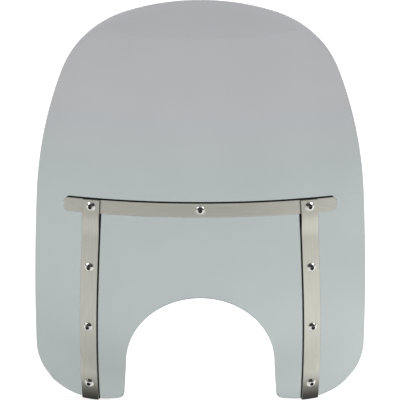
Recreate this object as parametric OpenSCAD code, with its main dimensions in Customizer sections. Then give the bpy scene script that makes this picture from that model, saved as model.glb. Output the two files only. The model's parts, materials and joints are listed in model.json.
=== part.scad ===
// Motorcycle windshield screen: a curved acrylic sheet with a round headlight cut-out, one cross
// strap and two side straps bolted to its outer face, and the bushes, washers and nuts behind it.
// +X is the rider's left-to-right axis as seen from ahead, -Y points ahead, +Z is up.

/* [Screen] */
// Width across the widest part of the sheet
screen_w = 482; // [440:1:580]
// Height of the sheet above the headlight cut-out
above_cut = 432; // [380:1:520]
// Height of the two legs below the top of the cut-out
leg_h = 173; // [145:1:208]
// Thickness of the sheet
sheet_t = 4.8; // [3:0.1:6.4]
// Radius of the crown
crown_r = 318; // [290:1:380]
// Radius of the two shoulders
shoulder_r = 150; // [110:1:180]
// Radius of the upper sides
side_r = 600; // [540:10:900]
// Radius of the long, nearly straight flanks
flank_r = 3750; // [2500:50:6000]
// Radius of the outer corner of each leg
corner_r = 82; // [50:1:96]
// Radius of the foot of each leg
foot_r = 160; // [130:1:220]
// Height of the widest line above the foot
widest_up = 112; // [90:1:140]

/* [Headlight cut-out] */
// Diameter of the round cut-out
cut_d = 216; // [170:1:250]
// Angle by which the inner edge of a leg leans outwards
leg_flare = 3.5; // [0:0.5:6]
// Radius of the inner corner of each leg
leg_corner_r = 13; // [6:1:20]

/* [Curvature] */
// Radius of the wrap around the rider, at the cross strap
wrap_r = 540; // [430:5:680]
// Radius of the gentle vertical crown, over the upper part
rake_r = 2500; // [1800:50:4000]
// Radius of the backward tuck, over the lower part
tuck_r = 750; // [600:10:1200]
// Distance from the cross strap down to the start of the tuck
tuck_drop = 125; // [80:1:160]

/* [Straps] */
// Height of the cross strap above the cut-out
cross_up = 134; // [90:1:180]
// Width of the cross strap
cross_w = 20.6; // [16:0.1:26]
// Thickness of the cross strap
cross_t = 3.2; // [2:0.1:4]
// Distance between the ends of the cross strap, along X
cross_span = 387; // [370:1:430]
// Clipped corner of a cross strap end
cross_clip = 4.5; // [1:0.5:7]
// Width of a side strap
side_w = 25.4; // [20:0.1:32]
// Thickness of a side strap
side_t = 3.2; // [2:0.1:4]
// Distance from the middle to a side strap, at the cross strap
side_x = 153.5; // [145:0.5:175]
// Angle by which a side strap spreads outwards on its way down
side_splay = 3.3; // [2:0.1:4.5]
// Length of the step that takes a side strap over the cross strap
joggle_len = 34; // [24:1:50]
// Thickness of the gasket tape under the straps
gasket_t = 1.5; // [0.8:0.1:2.5]
// Distance by which the gasket tape stops short of a strap's lower, outer and end edges
gasket_inset = 0.8; // [0.4:0.1:2]
// Distance by which the gasket tape stands out past a strap's upper or inner edge
gasket_proud = 1; // [0.4:0.1:2]

/* [Fasteners] */
// Diameter of the screw thread
screw_d = 7.94; // [6:0.01:8]
// Step in diameter from the outside of a screw's thread down to where it meets its nut's thread
thread_step = 0.92; // [0.6:0.01:1.2]
// Diameter of the button head
head_d = 13.9; // [12:0.1:16]
// Height of the button head
head_h = 4.2; // [3:0.1:5]
// Width across the flats of the hex socket
socket_af = 4.76; // [4:0.01:6]
// Depth of the hex socket
socket_depth = 2.6; // [1.5:0.1:2.8]
// Vertical distance between screws on a side strap
screw_pitch = 92.5; // [80:0.5:94]
// Length under the head of the screws with a free stud behind
stud_screw_l = 31.75; // [28:0.05:38.1]
// Length under the head of the two corner screws
corner_screw_l = 25.4; // [24:0.05:31.75]
// Length under the head of the centre screw
centre_screw_l = 22.2; // [20:0.05:25.4]
// Width across the flats of the nuts
nut_af = 12.7; // [11:0.1:14]
// Height of the nuts
nut_h = 6.7; // [5:0.1:8]
// Height of the dome on the cap nuts
dome_h = 6.2; // [5:0.1:7]
// Outer diameter of the steel washers
washer_d = 17.5; // [15:0.1:20]
// Thickness of the steel washers
washer_t = 1.6; // [1:0.1:2]
// Outer diameter of the bush flange
flange_d = 19; // [16:0.1:22]
// Thickness of the bush flange
flange_t = 2; // [1:0.1:3]
// Outer diameter of the bush sleeve inside the sheet
sleeve_d = 11; // [10:0.1:13]

/* [Hidden] */
$fn = 96;
// Facets of the large radii, fine enough to follow them to a few hundredths of a millimetre
large_fn = 720;
// Gap left between faces that rest on each other
seat_gap = 0.1;
// Radial clearance of a screw in the holes that it passes through
screw_clear = 0.15;
// Radial clearance of the bush in the sheet
bush_clear = 0.15;
// Radial clearance of a screw in the straps
strap_clear = 0.3;
// Longest straight step along the outline, and along the straps
outline_step = 16;
strap_step = 9;
// Reach of the cutting solids beyond the part
reach = 260;

strap_z = leg_h + cross_up;
top_z = leg_h + above_cut;
cut_z = leg_h - cut_d / 2;
// Angle and place of the start of the tuck, on the vertical crown
tuck_a = asin(tuck_drop / rake_r);
tuck_z = strap_z - tuck_drop;
rake_c = [wrap_r - rake_r, strap_z];
tuck_c = rake_c + (rake_r - tuck_r) * [cos(tuck_a), -sin(tuck_a)];

// Radius of the sheet's outer face about the upright axis behind it, at height z
function face_r(z) = z > tuck_z
    ? rake_c.x + sqrt(pow(rake_r, 2) - pow(z - rake_c.y, 2))
    : tuck_c.x + sqrt(pow(tuck_r, 2) - pow(tuck_c.y - z, 2));
// Angle of the outer face's normal above the horizontal, at height z
function face_tilt(z) = z > tuck_z ? asin((z - rake_c.y) / rake_r) : -asin((tuck_c.y - z) / tuck_r);
// Point of the profile that lies off outside the face, at height z
function skin(z, off) = [face_r(z) + off * cos(face_tilt(z)), z + off * sin(face_tilt(z))];

// Smooth step from 0 to 1
function smooth(t) = t <= 0 ? 0 : t >= 1 ? 1 : t * t * (3 - 2 * t);
function steps(length, step) = max(2, ceil(length / step));
// Points of an arc from angle a0 to a1, with the first point left out
function arc(c, r, a0, a1) =
    let (n = max(steps(abs(a1 - a0) * PI / 180 * r, outline_step), steps(abs(a1 - a0), 7.5)))
    [for (i = [1 : n]) c + r * [cos(a0 + (a1 - a0) * i / n), sin(a0 + (a1 - a0) * i / n)]];
function bearing(from, to) = atan2(to.y - from.y, to.x - from.x);
// Centre at the distances r1 and r2 from c1 and c2, on the left of the way from c1 to c2
function fillet_c(c1, r1, c2, r2) =
    let (d = norm(c2 - c1), u = (c2 - c1) / d, a = (r1 * r1 - r2 * r2 + d * d) / (2 * d))
    c1 + u * a + [-u.y, u.x] * sqrt(r1 * r1 - a * a);

// Outline of the right half: crown, shoulder, upper side, flank, corner, foot and inner corner
crown_c = [0, top_z - crown_r];
flank_c = [screen_w / 2 - flank_r, widest_up];
join_z = strap_z + 10;
join = [flank_c.x + sqrt(pow(flank_r, 2) - pow(join_z - widest_up, 2)), join_z];
side_c = join + (flank_c - join) * side_r / flank_r;
shoulder_c = fillet_c(side_c, side_r - shoulder_r, crown_c, crown_r - shoulder_r);
foot_c = [side_x + 2.5, foot_r];
corner_c = fillet_c(foot_c, foot_r - corner_r, flank_c, flank_r - corner_r);
// The inner edge of the leg starts at the cut-out's widest point and leans outwards
edge_dir = [sin(leg_flare), -cos(leg_flare)];
edge_side = [cos(leg_flare), sin(leg_flare)];
edge_top = [cut_d / 2, cut_z];
inner_base = edge_top + edge_side * leg_corner_r - foot_c;
inner_run = -inner_base * edge_dir
    + sqrt(pow(inner_base * edge_dir, 2) - inner_base * inner_base + pow(foot_r - leg_corner_r, 2));
inner_c = foot_c + inner_base + edge_dir * inner_run;

right_outline = concat(
    [[0, top_z]],
    arc(crown_c, crown_r, 90, bearing(crown_c, shoulder_c)),
    arc(shoulder_c, shoulder_r, bearing(crown_c, shoulder_c), bearing(side_c, shoulder_c)),
    arc(side_c, side_r, bearing(side_c, shoulder_c), bearing(flank_c, join)),
    arc(flank_c, flank_r, bearing(flank_c, join), bearing(flank_c, corner_c)),
    arc(corner_c, corner_r, bearing(flank_c, corner_c), bearing(foot_c, corner_c)),
    arc(foot_c, foot_r, bearing(foot_c, corner_c), bearing(foot_c, inner_c)),
    arc(inner_c, leg_corner_r, bearing(foot_c, inner_c), -180 + leg_flare),
    [edge_top]
);
outline = concat(right_outline, [for (i = [len(right_outline) - 1 : -1 : 1])
    [-right_outline[i].x, right_outline[i].y]]);

// Depth of a point of the sheet behind the front of the cross strap line
function depth(x, z, off) = wrap_r - sqrt(pow(skin(z, off).x, 2) - x * x);
front_y = -(gasket_t + cross_t + head_h + 2 * seat_gap);
rear_y = max([for (p = outline) depth(p.x, p.y, -sheet_t)]);
frame_shift = [0, -(front_y + rear_y) / 2, 0];

// Side straps: the angle of their middle at the cross strap, and their spread below it
side_a = asin(side_x / wrap_r);
function side_u(z) = (strap_z - z) * tan(side_splay);
function side_theta(z) = side_a + asin(side_u(z) / face_r(z));
cross_lift = gasket_t + cross_t + 2 * seat_gap;
strap_lift = gasket_t + seat_gap;
joggle_top = strap_z - cross_w / 2 - 1.5;
function side_off(z) =
    strap_lift + (cross_lift + seat_gap - strap_lift) * smooth((z - joggle_top) / joggle_len + 1);

// Each station is [height, side: -1 left, 0 centre, 1 right, offset of the strap face it clamps]
centre_at = [strap_z, 0, strap_lift + cross_t];
function corner_at(side) = [strap_z, side, cross_lift + seat_gap + side_t];
function stud_at(side, row) = [strap_z - row * screw_pitch, side, strap_lift + side_t];

// Puts the children, drawn about the front of the cross strap line, into the part's own frame
module in_frame() translate(frame_shift) children();

// Solid of revolution about the upright axis behind the screen, from a profile in [radius, z]
module wrap(half_angle) {
    translate([0, wrap_r, 0]) rotate([0, 0, 270 - half_angle])
        rotate_extrude(angle = 2 * half_angle, $fn = large_fn) children();
}

// Ring between two radii, about a centre of the profile
module ring(c, r_low, r_high, fn) {
    translate(c) difference() {
        circle(r = r_high, $fn = fn);
        circle(r = r_low, $fn = fn);
    }
}

// Profile of a layer between two offsets from the outer face, over the whole height
module layer_profile(low, high) {
    intersection() {
        ring(rake_c, rake_r + low, rake_r + high, 8 * large_fn);
        translate(tuck_c) rotate(-tuck_a) square([tuck_r + reach, 3 * reach]);
    }
    intersection() {
        ring(tuck_c, tuck_r + low, tuck_r + high, 3 * large_fn);
        translate(tuck_c) rotate(-tuck_a) translate([0, -2 * reach]) square([tuck_r + reach, 2 * reach]);
    }
}

// Prism of an outline drawn in [x, z], from well ahead of the part to well behind it
module prism() rotate([90, 0, 0]) linear_extrude(2 * reach, center = true) children();

// Everything inside the outline of the sheet, with the legs' notch open and the round cut-out filled
module outline_prism() prism() polygon(outline);

// Local frame of a side strap: X across it, Y into the sheet, Z up, at the cross strap's height
module strap_frame(side) {
    mirror([side < 0 ? 1 : 0, 0, 0])
        translate([0, wrap_r, 0]) rotate([0, 0, side_a]) translate([0, -wrap_r, 0]) children();
}

// Upright slab that follows a side strap down, width wide and open at the bottom
module strap_slab(side, width, high, shift = 0) {
    strap_frame(side) translate([0, 0, strap_z]) rotate([0, -side_splay, 0])
        translate([shift - width / 2, -reach / 4, -3 * reach])
        cube([width, reach, 3 * reach + high]);
}

// Local frame of a station: Z along the outward normal, 0 at the outer face of the sheet
module at_station(s) {
    z = s[0];
    theta = s[1] == 0 ? 0 : side_theta(z);
    tilt = face_tilt(z);
    mirror([s[1] < 0 ? 1 : 0, 0, 0])
        translate([face_r(z) * sin(theta), wrap_r - face_r(z) * cos(theta), z])
        rotate([90 - tilt, 0, theta]) children();
}

stations = concat(
    [centre_at],
    [for (side = [-1, 1]) corner_at(side)],
    [for (side = [-1, 1]) for (row = [1 : 3]) stud_at(side, row)]
);

// Holes of one diameter through every layer, at the given stations
module station_holes(at, d) {
    for (s = at) at_station(s) translate([0, 0, -reach / 8]) cylinder(d = d, h = reach / 4);
}

function on_side(side) = [for (s = stations) if (s[1] == side) s];
function on_cross() = [for (s = stations) if (s[0] == strap_z) s];

// Outline of the sheet with its round cut-out and its centre hole, which both run straight back
module sheet_outline() {
    difference() {
        polygon(outline);
        translate([0, cut_z]) circle(d = cut_d);
        translate([0, strap_z]) circle(d = sleeve_d + 2 * bush_clear);
    }
}

module screen() {
    color([0.72, 0.75, 0.76, 0.55]) in_frame() difference() {
        intersection() {
            wrap(40) layer_profile(-sheet_t, 0);
            prism() sheet_outline();
        }
        station_holes(concat(on_side(-1), on_side(1)), sleeve_d + 2 * bush_clear);
    }
}

// Flat bar bent round the wrap, square across, with four clipped corners
module cross_bar(low, high, width, span, clip) {
    half_a = asin(span / 2 / wrap_r);
    difference() {
        wrap(half_a) translate([wrap_r + low, strap_z - width / 2]) square([high - low, width]);
        for (end = [-1, 1]) for (edge = [-1, 1])
            translate([0, wrap_r, 0]) rotate([0, 0, end * half_a])
                translate([0, -wrap_r, strap_z + edge * width / 2]) rotate([0, 45, 0])
                cube([clip * sqrt(2), reach / 4, clip * sqrt(2)], center = true);
    }
}

module cross_strap() {
    color([0.74, 0.73, 0.68]) in_frame() difference() {
        cross_bar(gasket_t + seat_gap, gasket_t + cross_t + seat_gap, cross_w, cross_span, cross_clip);
        station_holes(on_cross(), screw_d + 2 * strap_clear);
    }
}

module cross_gasket() {
    color([0.08, 0.08, 0.08]) in_frame() difference() {
        translate([0, 0, (gasket_proud + gasket_inset) / 2])
            cross_bar(seat_gap / 2, gasket_t, cross_w - gasket_inset + gasket_proud,
                cross_span - 2 * gasket_inset, cross_clip);
        station_holes(on_cross(), screw_d + 2 * strap_clear);
    }
}

// Profile of a side strap: it follows the face, then steps out over the cross strap
function strap_profile() =
    let (bottom = -10, top = strap_z + cross_w / 2, n = steps(top - bottom, strap_step))
    let (zs = [for (i = [0 : n]) bottom + (top - bottom) * i / n])
    concat(
        [for (z = zs) skin(z, side_off(z))],
        [for (i = [n : -1 : 0]) skin(zs[i], side_off(zs[i]) + side_t)]
    );

module side_strap(side) {
    color([0.77, 0.75, 0.69]) in_frame() difference() {
        intersection() {
            wrap(30) polygon(strap_profile());
            strap_slab(side, side_w, reach / 4);
            outline_prism();
        }
        station_holes(on_side(side), screw_d + 2 * strap_clear);
    }
}

module side_gasket(side) {
    top = strap_z - cross_w / 2 - seat_gap;
    color([0.08, 0.08, 0.08]) in_frame() difference() {
        intersection() {
            wrap(30) intersection() {
                layer_profile(seat_gap / 2, gasket_t);
                translate([0, -reach]) square([2 * wrap_r, reach + top]);
            }
            strap_slab(side, side_w - gasket_inset + gasket_proud, reach / 4,
                -(gasket_proud + gasket_inset) / 2);
            translate([0, 0, gasket_inset]) outline_prism();
        }
        station_holes(on_side(side), screw_d + 2 * strap_clear);
    }
}

// Heights of the stack behind the sheet, along a station's normal
bush_back = -sheet_t - seat_gap - flange_t;
washer_back = bush_back - seat_gap - washer_t;
nut_back = washer_back - seat_gap - nut_h;
// Diameter of a screw inside its nut, where the two threads meet
meet_d = screw_d - thread_step;

module hexagon(af, h) cylinder(d = af / cos(30), h = h, $fn = 6);

// Domed head with a hex socket, standing on its seat
module button_head() {
    cap_r = (pow(head_d / 2, 2) + pow(head_h, 2)) / (2 * head_h);
    difference() {
        rotate_extrude() intersection() {
            translate([0, head_h - cap_r]) circle(r = cap_r, $fn = 4 * $fn);
            square([head_d / 2, head_h]);
        }
        translate([0, 0, head_h - socket_depth]) hexagon(socket_af, head_h);
    }
}

// Button-head screw: its shank has the thread's outer diameter, and meet_d inside the nut. A stud's
// free end, behind the nut, has the outer diameter again; under a cap nut there is no free end.
module screw(s, length, stud = false) {
    seat = s[2] + seat_gap;
    tip = seat - length;
    color([0.70, 0.70, 0.68]) in_frame() at_station(s) {
        translate([0, 0, seat]) button_head();
        translate([0, 0, washer_back]) cylinder(d = screw_d, h = seat - washer_back);
        translate([0, 0, tip]) cylinder(d = meet_d, h = length);
        if (stud) translate([0, 0, tip]) cylinder(d = screw_d, h = nut_back - seat_gap - tip);
    }
}

// Flanged rubber bush: the sleeve lines the hole in the sheet, the flange lies behind it
module bush(s) {
    color([0.10, 0.10, 0.10]) in_frame() at_station(s) difference() {
        union() {
            translate([0, 0, -sheet_t]) cylinder(d = sleeve_d, h = sheet_t - seat_gap);
            translate([0, 0, bush_back]) cylinder(d = flange_d, h = flange_t);
            translate([0, 0, bush_back]) cylinder(d = sleeve_d, h = flange_t + 2 * seat_gap);
        }
        translate([0, 0, -reach / 8]) cylinder(d = screw_d + 2 * screw_clear, h = reach / 4);
    }
}

module washer(s) {
    color([0.66, 0.66, 0.64]) in_frame() at_station(s) difference() {
        translate([0, 0, washer_back]) cylinder(d = washer_d, h = washer_t);
        translate([0, 0, -reach / 8]) cylinder(d = screw_d + 2 * screw_clear, h = reach / 4);
    }
}

// Plain hex nut, leaving the end of the stud free behind it
module nut(s) {
    color([0.68, 0.68, 0.66]) in_frame() at_station(s) difference() {
        translate([0, 0, nut_back]) hexagon(nut_af, nut_h);
        translate([0, 0, -reach / 8]) cylinder(d = meet_d + 2 * seat_gap, h = reach / 4);
    }
}

// Cap nut: the hex body is closed by a dome, and the screw ends inside it
module cap_nut(s, length) {
    depth_in = s[2] + seat_gap - length - seat_gap - 1;
    neck_d = nut_af - 0.6;
    dome_r = (pow(neck_d / 2, 2) + pow(dome_h, 2)) / (2 * dome_h);
    color([0.72, 0.72, 0.70]) in_frame() at_station(s) difference() {
        union() {
            translate([0, 0, nut_back]) hexagon(nut_af, nut_h);
            translate([0, 0, nut_back]) rotate_extrude() intersection() {
                translate([0, dome_r - dome_h]) circle(r = dome_r, $fn = 4 * $fn);
                translate([0, -dome_h]) square([neck_d / 2, dome_h]);
            }
        }
        translate([0, 0, depth_in]) cylinder(d = meet_d + 2 * seat_gap, h = reach / 4);
    }
}

screen();
cross_strap();
side_strap(-1);  // left_strap
side_strap(1);  // right_strap
cross_gasket();
side_gasket(-1);  // left_gasket
side_gasket(1);  // right_gasket
screw(centre_at, centre_screw_l);  // centre_screw
bush(centre_at);  // centre_bush
washer(centre_at);  // centre_washer
cap_nut(centre_at, centre_screw_l);  // centre_cap_nut
screw(corner_at(-1), corner_screw_l);  // left_corner_screw
bush(corner_at(-1));  // left_corner_bush
washer(corner_at(-1));  // left_corner_washer
cap_nut(corner_at(-1), corner_screw_l);  // left_corner_cap_nut
screw(corner_at(1), corner_screw_l);  // right_corner_screw
bush(corner_at(1));  // right_corner_bush
washer(corner_at(1));  // right_corner_washer
cap_nut(corner_at(1), corner_screw_l);  // right_corner_cap_nut
screw(stud_at(-1, 1), stud_screw_l, stud = true);  // left_upper_screw
bush(stud_at(-1, 1));  // left_upper_bush
washer(stud_at(-1, 1));  // left_upper_washer
nut(stud_at(-1, 1));  // left_upper_nut
screw(stud_at(-1, 2), stud_screw_l, stud = true);  // left_middle_screw
bush(stud_at(-1, 2));  // left_middle_bush
washer(stud_at(-1, 2));  // left_middle_washer
nut(stud_at(-1, 2));  // left_middle_nut
screw(stud_at(-1, 3), stud_screw_l, stud = true);  // left_lower_screw
bush(stud_at(-1, 3));  // left_lower_bush
washer(stud_at(-1, 3));  // left_lower_washer
nut(stud_at(-1, 3));  // left_lower_nut
screw(stud_at(1, 1), stud_screw_l, stud = true);  // right_upper_screw
bush(stud_at(1, 1));  // right_upper_bush
washer(stud_at(1, 1));  // right_upper_washer
nut(stud_at(1, 1));  // right_upper_nut
screw(stud_at(1, 2), stud_screw_l, stud = true);  // right_middle_screw
bush(stud_at(1, 2));  // right_middle_bush
washer(stud_at(1, 2));  // right_middle_washer
nut(stud_at(1, 2));  // right_middle_nut
screw(stud_at(1, 3), stud_screw_l, stud = true);  // right_lower_screw
bush(stud_at(1, 3));  // right_lower_bush
washer(stud_at(1, 3));  // right_lower_washer
nut(stud_at(1, 3));  // right_lower_nut
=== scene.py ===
"""A motorcycle windshield screen: smoked acrylic, stainless straps, tape and the bolts that join them.

The sheet is a surface of revolution: a raked and tucked profile turned about an upright axis behind
it. Every other piece is laid on that surface in layers. Sizes are in millimetres, in the part's own
frame: +X to the right as seen from ahead, -Y ahead, +Z up. The meshes are written in metres.
"""

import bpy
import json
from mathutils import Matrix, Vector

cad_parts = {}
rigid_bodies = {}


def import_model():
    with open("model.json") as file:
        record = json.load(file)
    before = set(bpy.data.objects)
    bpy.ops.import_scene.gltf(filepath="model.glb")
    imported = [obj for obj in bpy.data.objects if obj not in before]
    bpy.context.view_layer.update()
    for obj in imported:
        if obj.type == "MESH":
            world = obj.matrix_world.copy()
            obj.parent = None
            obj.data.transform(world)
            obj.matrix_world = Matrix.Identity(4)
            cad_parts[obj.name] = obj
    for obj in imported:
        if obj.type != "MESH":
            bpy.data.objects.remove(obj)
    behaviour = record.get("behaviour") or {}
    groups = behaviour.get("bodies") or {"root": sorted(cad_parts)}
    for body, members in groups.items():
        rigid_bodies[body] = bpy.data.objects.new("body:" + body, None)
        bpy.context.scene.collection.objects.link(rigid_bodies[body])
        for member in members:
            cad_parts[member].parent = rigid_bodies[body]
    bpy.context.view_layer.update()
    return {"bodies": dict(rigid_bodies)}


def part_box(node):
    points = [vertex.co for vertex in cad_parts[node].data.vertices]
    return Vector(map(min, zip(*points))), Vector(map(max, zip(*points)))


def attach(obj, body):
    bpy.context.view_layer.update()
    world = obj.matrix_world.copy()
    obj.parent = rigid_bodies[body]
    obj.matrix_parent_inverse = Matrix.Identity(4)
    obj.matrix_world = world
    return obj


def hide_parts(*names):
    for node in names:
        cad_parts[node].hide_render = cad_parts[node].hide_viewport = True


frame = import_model()

import json
import logging
import math
from dataclasses import dataclass, field
from enum import Enum
from typing import Callable, Sequence

import bmesh
import bpy
import numpy as np

LOG = logging.getLogger("screen")
MM = 0.001
BODY = next(iter(frame["bodies"]))
SHARP = 35.0
NOISE_SPAN = (0.3, 0.7)
CURVE_TOP = 2.0
NORMAL_PASSES = 4
FOOT_PASSES = 6
LEVELS = ("corner", "upper", "middle", "lower")
# Painted shade at the foot of the side straps: heights in metres and the share of the polished colour.
FOOT_PAINTED_SHADE = ((0.0, 0.0), (0.010, 0.08), (0.020, 0.24), (0.036, 0.74), (0.048, 1.0))
# Side straps' edges: heights in metres and the share of a lighter colour over the near-black painted
# shade, which stays darkest just under the cross strap, where it stands for the gap shadow under the
# stepped strap.
EDGE_PAINTED_SHADE = ((0.06, 1.0), (0.22, 0.0), (0.292, 0.0), (0.298, 1.0))

Array = np.ndarray
Socket = bpy.types.NodeSocket
Material = bpy.types.Material
Feed = Socket | float | tuple


def joined(*parts: Array) -> Array:
    """Joins coordinates into points, along a new last axis."""
    return np.stack(np.broadcast_arrays(*parts), axis=-1)


def show(name: str, data: bpy.types.ID) -> bpy.types.Object:
    """Makes an object of a mesh, camera or light, and links it to the scene.

    Args:
        name: name of the object.
        data: what it holds.

    Returns:
        The object.
    """
    shown = bpy.data.objects.new(name, data)
    bpy.context.scene.collection.objects.link(shown)
    return shown


# ---- meshes


class Shell:
    """Collects points and quads, joined by their indices, and turns them into one closed piece."""

    def __init__(self) -> None:
        """Starts with no points and no faces."""
        self.points: list[Array] = []
        self.faces: list[Array] = []
        self.finishes: list[Array] = []
        self.count = 0

    def add(self, points: Array) -> Array:
        """Adds points, in millimetres.

        Args:
            points: array whose last axis is x, y, z.

        Returns:
            Their indices, in the shape of the array without that axis.
        """
        flat = points.reshape(-1, 3)
        indices = np.arange(self.count, self.count + len(flat)).reshape(points.shape[:-1])
        self.points.append(flat)
        self.count += len(flat)
        return indices

    def quads(self, grid: Array, keep: Array | None = None, finish: int = 0) -> None:
        """Covers a grid of indices with quads.

        Args:
            grid: the indices.
            keep: cells that get a quad, or None for all.
            finish: index of the material.
        """
        cells = joined(grid[:-1, :-1], grid[1:, :-1], grid[1:, 1:], grid[:-1, 1:])
        self.cover(cells.reshape(-1, 4) if keep is None else cells[keep], finish)

    def cover(self, faces: Array, finish: int) -> None:
        """Adds faces, each a row of indices, with one material."""
        self.faces.append(faces)
        self.finishes.append(np.full(len(faces), finish))

    def band(self, rings: Sequence[Array], finish: int = 0) -> None:
        """Joins closed rings of as many indices each, one after another, with quads."""
        grid = np.stack(rings)
        self.quads(np.concatenate([grid, grid[:, :1]], axis=1), finish=finish)

    def cap(self, ring: Array, pole: Array, finish: int = 0) -> None:
        """Closes a ring of indices with a fan of triangles to one point at the pole."""
        tip = np.full(len(ring), int(self.add(pole.reshape(1, 3))[0]))
        self.cover(joined(ring, np.roll(ring, -1), tip), finish)

    def piece(self, name: str, slot: str, materials: Sequence[Material], replaces: Sequence[str],
              sharp: float = SHARP) -> None:
        """Makes the piece, with its place in its mesh, and lets it ride on the body.

        Args:
            name: its name.
            slot: the record's material slot; not used.
            materials: materials, by index.
            replaces: CAD nodes it stands for.
            sharp: degrees past which an edge is sharp.
        """
        mesh = bpy.data.meshes.new(name)
        faces = [face for block in self.faces for face in block.tolist()]
        mesh.from_pydata((np.concatenate(self.points) * MM).tolist(), [], faces)
        for material in materials:
            mesh.materials.append(material)
        mesh.polygons.foreach_set("material_index", np.concatenate(self.finishes).astype(np.int32))
        work = bmesh.new()
        work.from_mesh(mesh)
        bmesh.ops.recalc_face_normals(work, faces=work.faces)
        work.to_mesh(mesh)
        work.free()
        mesh.shade_smooth()
        mesh.set_sharp_from_angle(angle=math.radians(sharp))
        mesh.update()
        piece = show(name, mesh)
        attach(piece, BODY)
        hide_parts(*replaces)
        LOG.info("%s: %d faces", name, len(mesh.polygons))


# ---- surface


@dataclass(frozen=True)
class Station:
    """A point on the outer face with its own axes: across, up along the face, and out of it."""

    origin: Array
    across: Array
    upward: Array
    outward: Array

    def put(self, local: Array) -> Array:
        """Puts points given along across, upward and outward into the part's frame."""
        axes = np.stack([self.across, self.upward, self.outward])
        return self.origin + local @ axes

    def measure(self, points: Array) -> Array:
        """Coordinates of points of the part's frame, along across, upward and outward."""
        return (points - self.origin) @ joined(self.across, self.upward, self.outward)


@dataclass(frozen=True)
class Skin:
    """The outer face of the sheet and the layers parallel to it.

    The profile is two arcs that meet smoothly: the rake above, whose centre is at strap height, and the
    tighter tuck below. The profile is turned about an upright axis wrap_r behind the face.
    """

    front_y: float
    wrap_r: float = 540.0
    rake_r: float = 2500.0
    tuck_r: float = 750.0
    tuck_drop: float = 125.0
    strap_z: float = 307.0

    @property
    def axis_y(self) -> float:
        """Where the upright axis stands."""
        return self.front_y + self.wrap_r

    def profile(self, z: Array) -> tuple[Array, Array]:
        """Radius about the axis and tilt of the normal above the horizontal.

        On an arc of radius R with its centre at (c, h), the radius at height z is
        c + sqrt(R^2 - (z - h)^2), and the tilt's sine is (z - h) / R.

        Args:
            z: heights.

        Returns:
            The radii and the tilts in radians, in the shape of z.
        """
        z = np.asarray(z, float)
        turn = math.asin(self.tuck_drop / self.rake_r)
        rake_c = self.wrap_r - self.rake_r
        run = self.rake_r - self.tuck_r
        tuck_c, tuck_h = rake_c + run * math.cos(turn), self.strap_z - run * math.sin(turn)
        above = z > self.strap_z - self.tuck_drop
        sine = np.where(above, (z - self.strap_z) / self.rake_r, (z - tuck_h) / self.tuck_r)
        radius = np.where(above, rake_c + self.rake_r * np.sqrt(1 - sine**2),
                          tuck_c + self.tuck_r * np.sqrt(1 - sine**2))
        return radius, np.arcsin(sine)

    def layer(self, z: Array, off: Array | float) -> Array:
        """Radius at height z of the layer that lies off outside the face, along its normal.

        The normal's foot is found by repeating foot = z - off * sin(tilt(foot)).

        Args:
            z: heights.
            off: offsets.

        Returns:
            The radii.
        """
        foot = np.asarray(z, float)
        for _ in range(NORMAL_PASSES):
            foot = z - off * np.sin(self.profile(foot)[1])
        radius, tilt = self.profile(foot)
        return radius + off * np.cos(tilt)

    def station(self, theta: float, z: float) -> Station:
        """Finds a point of the face and its axes.

        Args:
            theta: angle about the axis.
            z: height.

        Returns:
            The point with its axes.
        """
        radius, tilt = (float(v) for v in self.profile(z))
        sin_a, cos_a, sin_t, cos_t = math.sin(theta), math.cos(theta), math.sin(tilt), math.cos(tilt)
        return Station(
            np.array([radius * sin_a, self.axis_y - radius * cos_a, z]),
            np.array([cos_a, sin_a, 0.0]),
            np.array([-sin_a * sin_t, cos_a * sin_t, cos_t]),
            np.array([sin_a * cos_t, -cos_a * cos_t, sin_t]),
        )


class Side(Enum):
    """The two sides of the screen, with the sign of their X."""

    LEFT = -1
    RIGHT = 1

    @property
    def word(self) -> str:
        """The side's name as the nodes spell it."""
        return self.name.lower()


# ---- plates


class Layout:
    """How a plate's plan, which has two coordinates, is laid on the skin."""

    def lay(self, plan: Array, outer: bool) -> tuple[Array, Array]:
        """Lays points of the plan on a face.

        Args:
            plan: the points.
            outer: whether it is the outer face.

        Returns:
            The points in space, and the way straight back from each.
        """
        raise NotImplementedError

    def plan(self, points: Array) -> Array:
        """Plan coordinates of points of the part's frame."""
        raise NotImplementedError


@dataclass(frozen=True)
class FacingLayout(Layout):
    """Plan in a flat plane turned about the skin's axis, with faces straight behind it.

    A point (p, z) lies at the angle turn + asin(p / R) about the axis, where R is the radius of the
    layer at height z, so edges run straight back, square to the plane.
    """

    skin: Skin
    outer: Callable[[Array], Array]
    inner: Callable[[Array], Array]
    turn: float = 0.0
    sign: int = 1

    def lay(self, plan: Array, outer: bool) -> tuple[Array, Array]:
        """See Layout."""
        p, z = plan[..., 0], plan[..., 1]
        radius = self.skin.layer(z, (self.outer if outer else self.inner)(z))
        theta = self.turn + np.arcsin(p / radius)
        x, y = self.sign * radius * np.sin(theta), self.skin.axis_y - radius * np.cos(theta)
        back = np.array([-self.sign * math.sin(self.turn), math.cos(self.turn), 0.0])
        return joined(x, y, z), np.broadcast_to(back, x.shape + (3,))

    def plan(self, points: Array) -> Array:
        """See Layout."""
        x, y = self.sign * points[..., 0], points[..., 1] - self.skin.axis_y
        return joined(x * math.cos(self.turn) + y * math.sin(self.turn), points[..., 2])


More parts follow.
